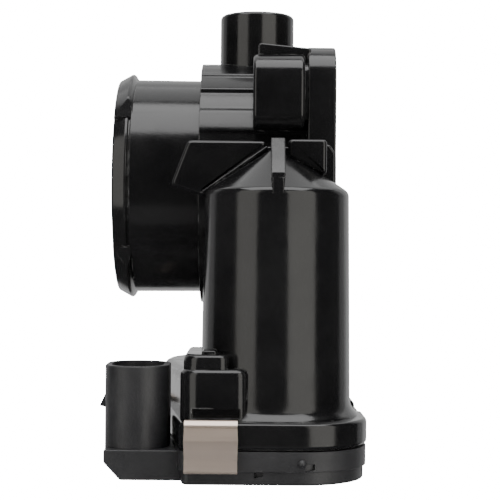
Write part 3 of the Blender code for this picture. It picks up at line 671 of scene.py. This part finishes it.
def barrel_parts():
    """The motor barrel with its coned end, the plates beside the cone, and the rib down its front."""
    profile = soften(
        [
            (0, CONE_TOP - 0.6),
            (BARREL_R - 0.4, BARREL_TOP - 0.4),
            (BARREL_R + 0.25, LEDGE + 2.4),
            (BARREL_R + 2.6, LEDGE - 0.1),
            (BARREL_R + 2.6, LEDGE - 2),
            (0, LEDGE - 2),
        ],
        [0, 1.3, 2.2, 1.6, 0, 0],
        7,
        closed=False,
    )
    middle_x = MOTOR.x
    left = [
        (middle_x - 23.7, CONE_TOP + 0.3),
        (middle_x - 28.2, CONE_TOP - 11.5),
        (middle_x - 19.4, CONE_TOP - 14.5),
        (middle_x - 19.1, CONE_TOP - 13.1),
        (middle_x - 3.0, CONE_TOP - 1.9),
        (middle_x - 3.0, CONE_TOP + 0.3),
    ]
    right = [
        (middle_x + 2.8, CONE_TOP + 0.5),
        (middle_x + 2.8, CONE_TOP - 4.3),
        (middle_x + 12.9, CONE_TOP - 8.9),
        (middle_x + 12.9, CONE_TOP + 0.5),
    ]
    right_back = right[:2] + [
        (middle_x + 1.5, CONE_TOP - 13),
        (middle_x + 15.5, CONE_TOP - 13),
        (middle_x + 15.5, CONE_TOP - 2.6),
        (middle_x + 13.9, CONE_TOP - 0.4),
    ]
    fillet = ((middle_x - 19.6, CONE_TOP - 13.4), (middle_x - 2.6, CONE_TOP - 1.4))
    front = MOTOR.y - 0.6
    foot = MOTOR.y - BARREL_R + 0.15
    rib = [
        (foot, CONE_TOP - 10.4),
        (foot, CONE_TOP - 9.1),
        (MOTOR.y - 9.4, CONE_TOP + 0.45),
        (MOTOR.y + 4, CONE_TOP + 0.45),
        (MOTOR.y + 4, CONE_TOP - 10.4),
    ]
    low_rib = [
        (foot + 0.15, CONE_TOP - 14.4),
        (foot + 0.15, CONE_TOP - 9.6),
        (MOTOR.y, CONE_TOP - 9.6),
        (MOTOR.y, CONE_TOP - 14.4),
    ]
    return [
        lathe("barrel", profile, (MOTOR.x, MOTOR.y, 0), "Z", steps=FINEST),
        prism("left_plate", left, front, front + 5.4, "Y", bevel=1.1, segments=5),
        prism("right_plate", right, front - 4.6, front + 5.4, "Y", bevel=1.1, segments=5),
        bead("left_fillet", *fillet, front, 0.45),
        prism("right_back", right_back, front + 2.2, front + 9, "Y", bevel=0.6),
        box("bridge", (middle_x - 18, MOTOR.y + 3.5, BORE_Z - 27), (FACE - 6.2, -8.0, CONE_TOP - 0.9), 0.6),
        prism("rib", rib[::-1], middle_x - 1.8, middle_x + 1.8, "X", bevel=0.3),
        prism("low_rib", low_rib[::-1], middle_x - 1.5, middle_x + 1.45, "X", bevel=0.3),
    ]


def block_outline(left, right, front, back, radii):
    """One step of the block, with its two front corners rounded."""
    return soften([(left, front), (right, front), (right, back), (left, back)], [*radii, 0, 0], 10)


def tray_parts():
    """The gear tray, its raised part, and the two-step block at its front left."""
    left, front = BLOCK_LEFT, BLOCK_FRONT
    low = block_outline(left, left + 17.0, front, -17, (5.4, 2.6))
    high = block_outline(left + 0.8, left + 12.4, front + 0.9, -19, (4.6, 2.4))
    return [
        prism("tray", tray_outline(), JOINT, LEDGE, bevel=1.1, segments=4),
        prism("hump", hump_outline(), JOINT + 1, HUMP, bevel=3.0, segments=5),
        prism("block_low", low, LEDGE - 2, HUMP + 2.4, bevel=1.9, segments=6),
        prism("block_high", high, HUMP - 4, HUMP + 6.0, bevel=1.5, segments=6),
        box("block_cap", (left + 5.4, -47.5, HUMP + 4), (left + 9.2, -40, HUMP + 6.9), 0.6),
    ]


def housing_hollows():
    """The room for the gears and the motor, the bore, and two notches in the ledge."""
    recess_low = (CORNER[0] + 0.3, -56, LEDGE + 0.6)
    recess_high = (CORNER[0] + 12.6, BLOCK_FRONT + 0.9, LEDGE + 3.2)
    return [
        prism("tray_hollow", tray_outline(CASE_WALL), JOINT - 3, ROOF),
        prism("hump_hollow", hump_outline(CASE_WALL), JOINT - 2, HUMP - 1.3),
        rod("barrel_hollow", (MOTOR.x, MOTOR.y), 16.0, JOINT - 1, CONE_TOP - 15.6, steps=64),
        rod("bore", (BORE_Y, BORE_Z), BORE_R, INLET - 5, FACE + 5, "X", FINEST),
        box("ledge_notch", (SHAFT.x + 23.7, -24.5, LEDGE - 1.6), (SHAFT.x + 40, 0.5, LEDGE + 3), 0.3),
        box("clip_recess", recess_low, recess_high, 0.3),
    ]


def inner_bosses():
    """The bosses that stand in the hollows and carry the lower bearing, the gear's pin and the stop."""
    return [
        rod("bearing_boss", (SHAFT.x, SHAFT.y), 10.5, ROOF + 0.2, HUMP - 0.5),
        rod("pin_boss", (MIDDLE.x, MIDDLE.y), 3.6, JOINT + 2.4, HUMP - 0.6, steps=24),
        rod("stop_boss", (STOP.x, STOP.y), 2.8, ROOF - 0.4, HUMP - 0.6, steps=24),
    ]


def housing_holes():
    """The holes for the shaft and its bearings, the pins, the screws and the bolts, and the seal's groove."""
    holes = [
        rod("shaft_hole", (SHAFT.x, SHAFT.y), SHAFT_R + 0.5, ROOF - 1, SHAFT_TOP + 1.5),
        rod("lower_seat", (SHAFT.x, SHAFT.y), 8.3, ROOF - 1, ROOF + 7.4),
        rod("seal_seat", (SHAFT.x, SHAFT.y), 6.9, ROOF - 0.9, ROOF + 12.2),
        rod("upper_seat", (SHAFT.x, SHAFT.y), 7.3, BORE_Z + 22, SHAFT_TOP + 0.8),
        rod("pin_hole", (MIDDLE.x, MIDDLE.y), PIN_HOLE_R, ROOF - 3, ROOF + 8.3, steps=24),
        rod("stop_hole", (STOP.x, STOP.y), PIN_HOLE_R, ROOF - 3, ROOF + 8.3, steps=24),
    ]
    for name in ("motor_screw_1", "motor_screw_2"):
        at = middle(name)
        holes.append(rod("screw_hole", (at.x, at.y), 1.4, ROOF - 1, ROOF + 9.3, steps=20))
    for across, up in BOLT_PLACES:
        start = FACE - 28 if up > 0 else FACE - 27.4
        holes.append(rod("bolt_hole", (BORE_Y + across, BORE_Z + up), BOLT_R, start, FACE + 2, "X", 40))
    groove = [(30.8, FACE - 1.8), (33.2, FACE - 1.8), (33.2, FACE + 1), (30.8, FACE + 1)]
    holes.append(lathe("face_groove", groove, (0, BORE_Y, BORE_Z), "X", closed=True))
    return holes


def cover_seal_groove():
    ring = prism("groove", tray_outline(0.7), JOINT - 1, JOINT + 1.2)
    return merge(ring, [prism("groove_core", tray_outline(2.0), JOINT - 2, JOINT + 2)], "DIFFERENCE")


def housing():
    body = spigot()
    outside = [stepped_ring(), *flange_parts(), *tower_parts(), *barrel_parts(), *tray_parts()]
    merge(body, outside, "UNION")
    merge(body, housing_hollows(), "DIFFERENCE")
    merge(body, inner_bosses(), "UNION")
    merge(body, [*housing_holes(), cover_seal_groove()], "DIFFERENCE")
    crisp(body)
    body.name = "housing_casting"
    return shown(body, "casing", CASTING, "black_casting", "throttle_housing")


# ---------------------------------------------------------------- cover and connector

def gear_cover():
    """The moulded cover: a stepped wall, and the connector's oval shell on a shoulder at the front left."""
    floor = COVER_LOW.z
    rim = JOINT - GAP
    pins = [middle(f"connector_pin_{i}") for i in range(1, 7)]
    plug = sum(pins, Vector()) / len(pins)
    half_x, half_y, corner = 8.3, 11.0, 8.2
    top = COVER_HIGH.z
    step = floor + 3.4
    body = prism("cover", tray_outline(0.2), step, rim, bevel=0.25, segments=2)
    side = [
        (plug.x - 7.9, floor + 7.7),
        (plug.x + 14.0, floor + 7.7),
        (plug.x + 14.0, floor),
        (plug.x - 3.7, floor),
        (plug.x - 7.9, floor + 4.5),
    ]
    shell = rectangle((plug.x - half_x, plug.y - half_y), (plug.x + half_x, plug.y + half_y), corner, 14)
    wall = 1.6
    hollow = rectangle(
        (plug.x - half_x + wall, plug.y - half_y + wall),
        (plug.x + half_x - wall, plug.y + half_y - wall),
        corner - wall,
        14,
    )
    latch_back = plug.x - half_x + 0.6
    latch = [(latch_back, floor + 22.5), (plug.x - 9.8, floor + 17.9), (latch_back, floor + 17.4)]
    nub = [(0, 1.0), (0.6, 0.75), (1.05, 0.2), (1.1, -0.8), (0, -0.8)]
    nub_place = (MOTOR.x + 6.4, MOTOR.y - RIM_R + 0.1, floor + 5.5)
    merge(
        body,
        [
            prism("cover_base", tray_outline(0.9), floor, step + 0.4, bevel=0.5),
            prism("shoulder", side, plug.y - half_y - 0.6, plug.y + half_y + 8.0, "Y", bevel=0.45),
            prism("plug_shell", shell, floor + 4, top, bevel=0.35),
            prism("latch", latch, plug.y - 3, plug.y + 3, "Y", bevel=0.15),
            prism("plug_foot", shell, floor + 7.0, floor + 8.6, bevel=0.3),
            lathe("nub", nub, nub_place, "Y", steps=24),
        ],
        "UNION",
    )
    merge(
        body,
        [
            prism("cover_hollow", tray_outline(COVER_WALL), floor + 1.8, rim + 2),
            prism("plug_hollow", hollow, floor + 12, top + 3),
            *cover_notches(step),
        ],
        "DIFFERENCE",
    )
    merge(body, [rod("pin_pad", (MIDDLE.x, MIDDLE.y), 3.4, floor + 1, floor + 2.9, steps=32)], "UNION")
    cuts = [rod("pin_hole", (MIDDLE.x, MIDDLE.y), PIN_HOLE_R, floor + 1.2, floor + 6, steps=24)]
    reach = 0.7
    for pin in pins:
        low = (pin.x - reach, pin.y - reach, floor + 9.2)
        cuts.append(box("contact", low, (pin.x + reach, pin.y + reach, floor + 14)))
    merge(body, cuts, "DIFFERENCE")
    crisp(body)
    body.name = "cover_moulding"
    return shown(body, "casing", PLASTIC, "black_plastic", "gear_cover")


# Each notch: its direction from the motor's axis in degrees, how far out, and its low and high over the step.
NOTCHES = (
    (-101, 23.1436, -1.6, 0.3),
    (-70, 24.821, 0.2, 2.1),
    (-34, 26.8, 0.2, 2.3),
    (-22, 24.6, -2.2, 0.2),
    (8, 22.9329, -1.8, 0.3),
)


def cover_notches(step):
    """Small moulded notches in the cover's wall, to the right of the front clip."""
    notches = []
    half = 1.1
    for turn, reach, low, high in NOTCHES:
        way = math.radians(turn)
        shape = [(-half, step + low), (half, step + low + 0.5), (half, step + high), (-half, step + high)]
        notch = prism("notch", shape, -0.6, 0.7, "Y")
        notch.data.transform(Matrix.Rotation(way + math.pi / 2, 4, "Z"))
        centre = Vector((MOTOR.x + reach * math.cos(way), MOTOR.y + reach * math.sin(way), 0))
        notch.data.transform(Matrix.Translation(centre * MM))
        notches.append(notch)
    return notches


# ---------------------------------------------------------------- clips

def clip(name):
    """A bent spring-steel ribbon in its CAD node's place, with rounded bends."""
    centre = middle(name)
    facing = clip_facing(frame["nodes"][name], centre)
    hook, front = -1.0, 1.95  # how far the ribbon reaches in and out
    thickness = 0.6
    path = soften(
        [
            (hook, 6.4),
            (0.1, 6.6),
            (1.35, 5.45),
            (0.85, 5.0),
            (front, 1.7),
            (1.3, -2.9),
            (front, -5.9),
            (0.4, -6.2),
        ],
        [0, 0.7, 0.25, 0.2, 0.25, 0.25, 0.3, 0],
        4,
        closed=False,
    )
    form = bmesh.new()
    sides = 14
    rows = []
    for out, up in path:
        half = CLIP_HALF + 0.12 if -2.6 < up < 2.1 else CLIP_HALF
        rows.append([form.verts.new((half * (2 * i / sides - 1), -out, up)) for i in range(sides + 1)])
    for first, second in zip(rows, rows[1:]):
        for i in range(sides):
            form.faces.new((first[i], first[i + 1], second[i + 1], second[i]))
    made = to_object(name + "_ribbon", form, 60)
    thick = made.modifiers.new("thickness", "SOLIDIFY")
    thick.thickness = thickness * MM
    thick.offset = 0
    thick.use_even_offset = True
    edge = made.modifiers.new("edge", "BEVEL")
    edge.width = 0.14 * MM
    edge.segments = 2
    edge.limit_method = "ANGLE"
    solid = apply_modifiers(made).data
    solid.set_sharp_from_angle(angle=math.radians(9))
    solid.transform(Matrix.Rotation(facing + math.pi / 2, 4, "Z"))
    outward = Vector((math.cos(facing), math.sin(facing), 0))
    base = Vector((centre.x, centre.y, CLIP_MIDDLE)) - outward * (front + thickness / 2 + hook) / 2
    solid.transform(Matrix.Translation(base * MM))
    return shown(made, "casing", CLIP_STEEL, "spring_steel", name)


def clip_facing(node, centre):
    """The angle that the clip's flat front faces, from its largest upright face."""
    largest = max(node.data.polygons, key=lambda face: face.area)
    normal = Vector((largest.normal.x, largest.normal.y))
    outward = Vector((centre.x - (SHAFT.x + MOTOR.x) / 2, centre.y - (SHAFT.y + MOTOR.y) / 2))
    if normal.dot(outward) < 0:
        normal = -normal
    return math.atan2(normal.y, normal.x)


# ---------------------------------------------------------------- pieces seen through the bore

def throttle_pieces():
    """The plate with a thinned edge, the ground shaft and its two cross-headed screws."""
    turn = Matrix.Rotation(math.radians(REST_ANGLE), 4, "Z")
    place = Matrix.Translation(Vector((SHAFT.x, SHAFT.y, 0)) * MM)
    slot = box("slot", (-1.1, -6, BORE_Z - BORE_R), (1.1, 6, BORE_Z + BORE_R))
    flat = box("flat", (2.6, -6, BORE_Z - 19.5), (6, 6, BORE_Z + 19.5))
    low, high = span("throttle_shaft")
    shaft = rod("shaft_bar", (0, 0), SHAFT_R, low.z, high.z, steps=64, edge=0.5)
    merge(shaft, [slot, flat], "DIFFERENCE")
    edge, half = BORE_R - GAP, PLATE_HALF_THICK
    disc = soften([(0, -half), (edge, -half), (edge, half), (0, half)], [0, 0.3, 0.3, 0], 3, closed=False)
    plate = lathe("plate_disc", disc, (0, 0, BORE_Z), "X", steps=FINEST)
    holes = []
    screws = []
    for level in PLATE_SCREW_LEVELS:
        holes.append(rod("hole", (0, level), 1.5, -6, 6, "X", 24))
        head = soften(
            [(0, 4.35), (1.5, 4.2), (2.1, 3.3), (2.1, 2.9), (1.2, 2.9), (1.2, -3.4), (0, -3.4)],
            [0, 0.5, 0.2, 0, 0, 0.2, 0],
            3,
            closed=False,
        )
        screw = lathe(f"plate_screw_body_{len(screws) + 1}", head[::-1], (0, 0, level), "X", steps=36)
        cross = [
            box("cross", (3.5, -1.1, level - 0.22), (5, 1.1, level + 0.22)),
            box("cross", (3.5, -0.22, level - 1.1), (5, 0.22, level + 1.1)),
        ]
        screws.append(merge(screw, cross, "DIFFERENCE"))
    spare = [hole.copy() for hole in holes]
    for hole in spare:
        hole.data = hole.data.copy()
        bpy.context.scene.collection.objects.link(hole)
    merge(plate, holes, "DIFFERENCE")
    merge(shaft, spare, "DIFFERENCE")
    for piece in (plate, shaft, *screws):
        piece.data.transform(place @ turn)
        crisp(piece)
    shown(plate, "throttle", BRASS, "brass", "throttle_plate")
    shown(shaft, "throttle", STEEL, "steel", "throttle_shaft")
    for index, screw in enumerate(screws):
        shown(screw, "throttle", STEEL, "steel", f"plate_screw_{index + 1}")


def face_seal():
    profile = soften(
        [(31.3, FACE - 1.4), (32.7, FACE - 1.4), (32.7, FACE + 0.4), (31.3, FACE + 0.4)], 0.65, 4
    )
    ring = lathe("face_ring", profile, (0, BORE_Y, BORE_Z), "X", steps=FINEST, closed=True)
    return shown(ring, "casing", RUBBER, "rubber", "flange_seal")


def contacts():
    """Connector blades with pointed ends."""
    for i in range(1, 7):
        name = f"connector_pin_{i}"
        low, high = span(name)
        centre = (low + high) / 2
        outline = rectangle((centre.x - 0.4, centre.y - 0.4), (centre.x + 0.4, centre.y + 0.4))
        blade = prism(name + "_blade", outline, low.z, high.z, bevel=0.12, segments=2, taper=0.3)
        shown(blade, "casing", TIN, "tinned", name)


# ---------------------------------------------------------------- floor, light and camera

def floor_and_backdrop():
    """A pale sheet that lies under the object and curves up behind it."""
    form = bmesh.new()
    bend, sweep, height, half_width = 0.9, 0.6, 2.4, 2.6  # in metres, as the whole stage is
    path = [(-1.6, 0.0), (bend, 0.0)] + arc((bend, sweep), sweep, -81, -9, 8)
    path += [(bend + sweep, sweep), (bend + sweep, height)]
    rows = [[form.verts.new((x, y, z)) for y, z in path] for x in (-half_width, half_width)]
    for i in range(len(path) - 1):
        form.faces.new((rows[0][i], rows[1][i], rows[1][i + 1], rows[0][i + 1]))
    mesh = bpy.data.meshes.new("floor")
    form.to_mesh(mesh)
    form.free()
    mesh.shade_smooth()
    sheet = bpy.data.objects.new("floor", mesh)
    bpy.context.scene.collection.objects.link(sheet)
    paper = bpy.data.materials.new("white_paper")
    paper.use_nodes = True
    shader = paper.node_tree.nodes["Principled BSDF"]
    shader.inputs["Base Color"].default_value = (0.94, 0.94, 0.94, 1)
    shader.inputs["Roughness"].default_value = 0.9
    shader.inputs["Emission Color"].default_value = (1, 1, 1, 1)
    ray = paper.node_tree.nodes.new("ShaderNodeLightPath")
    glow = paper.node_tree.nodes.new("ShaderNodeMapRange")
    glow.inputs["To Min"].default_value = 0.7
    glow.inputs["To Max"].default_value = 18.0
    paper.node_tree.links.new(ray.outputs["Is Camera Ray"], glow.inputs["Value"])
    paper.node_tree.links.new(glow.outputs["Result"], shader.inputs["Emission Strength"])
    mesh.materials.append(paper)
    sheet.visible_glossy = False


def softbox(name, azimuth, elevation, distance, half_across, half_up, radiance, colour=(1, 1, 1)):
    """A soft light in the given direction from the object, in degrees; azimuth 0 is the camera's side.

    Its half sizes are angles too, its distance is in metres, and radiance is how bright its face looks."""
    aim = Vector((0.0, 0.0, 0.07))
    turn, rise = math.radians(azimuth), math.radians(elevation)
    way = Vector((math.sin(turn) * math.cos(rise), -math.cos(turn) * math.cos(rise), math.sin(rise)))
    data = bpy.data.lights.new(name, "AREA")
    data.shape = "RECTANGLE"
    data.size = 2 * distance * math.tan(math.radians(half_across))
    data.size_y = 2 * distance * math.tan(math.radians(half_up))
    data.energy = radiance * math.pi * data.size * data.size_y
    data.color = colour
    made = bpy.data.objects.new(name, data)
    bpy.context.scene.collection.objects.link(made)
    made.location = aim + way * distance
    made.rotation_euler = (-way).to_track_quat("-Z", "Y").to_euler()
    made.visible_camera = False
    return made


def lights():
    warm = (1.0, 0.98, 0.92)
    softbox("overhead", 0, 76, 1.0, 34, 20, 4.6)
    softbox("left_strip", -46.5, 12, 0.9, 17, 32, 1.6, warm)
    softbox("right_strip", 38.5, 12, 0.9, 22, 32, 2.0, warm)
    softbox("rear_wall", 180, 8, 1.3, 48, 42, 0.8)
    softbox("rear_top", 180, 64, 1.2, 38, 15, 1.3)
    softbox("front_floor", 0, -33, 0.8, 38, 10, 0.2)
    softbox("inlet_side", -122, 8, 0.9, 10, 26, 0.45)
    softbox("flange_side", 122, 8, 0.9, 10, 26, 0.45)


def world():
    """White where the camera sees past the sheet, and nearly dark for everything else."""
    room = bpy.data.worlds.new("room")
    bpy.context.scene.world = room
    room.use_nodes = True
    nodes = room.node_tree.nodes
    links = room.node_tree.links
    seen = nodes["Background"]
    seen.inputs["Color"].default_value = (1, 1, 1, 1)
    seen.inputs["Strength"].default_value = 18.0
    dim = nodes.new("ShaderNodeBackground")
    dim.inputs["Color"].default_value = (1, 1, 1, 1)
    dim.inputs["Strength"].default_value = 0.035
    ray = nodes.new("ShaderNodeLightPath")
    pick = nodes.new("ShaderNodeMixShader")
    links.new(ray.outputs["Is Camera Ray"], pick.inputs[0])
    links.new(dim.outputs[0], pick.inputs[1])
    links.new(seen.outputs[0], pick.inputs[2])
    links.new(pick.outputs[0], nodes["World Output"].inputs["Surface"])


def camera():
    data = bpy.data.cameras.new("camera")
    data.lens = 99.6
    data.sensor_width = 36.0
    data.clip_start = 0.02
    data.clip_end = 20.0
    made = bpy.data.objects.new("camera", data)
    bpy.context.scene.collection.objects.link(made)
    distance, height, roll = 415.0, 58.5, 0.5
    made.location = Vector((SHAFT.x - 1.6, BORE_Y - distance, height)) * MM
    level = Matrix.Rotation(math.radians(90), 4, "X")
    made.rotation_euler = (level @ Matrix.Rotation(math.radians(roll), 4, "Z")).to_euler()
    bpy.context.scene.camera = made


def main():
    camera()
    finish_cad_nodes()
    housing()
    gear_cover()
    for i in range(1, 6):
        clip(f"cover_clip_{i}")
    throttle_pieces()
    face_seal()
    contacts()
    floor_and_backdrop()
    lights()
    world()


main()
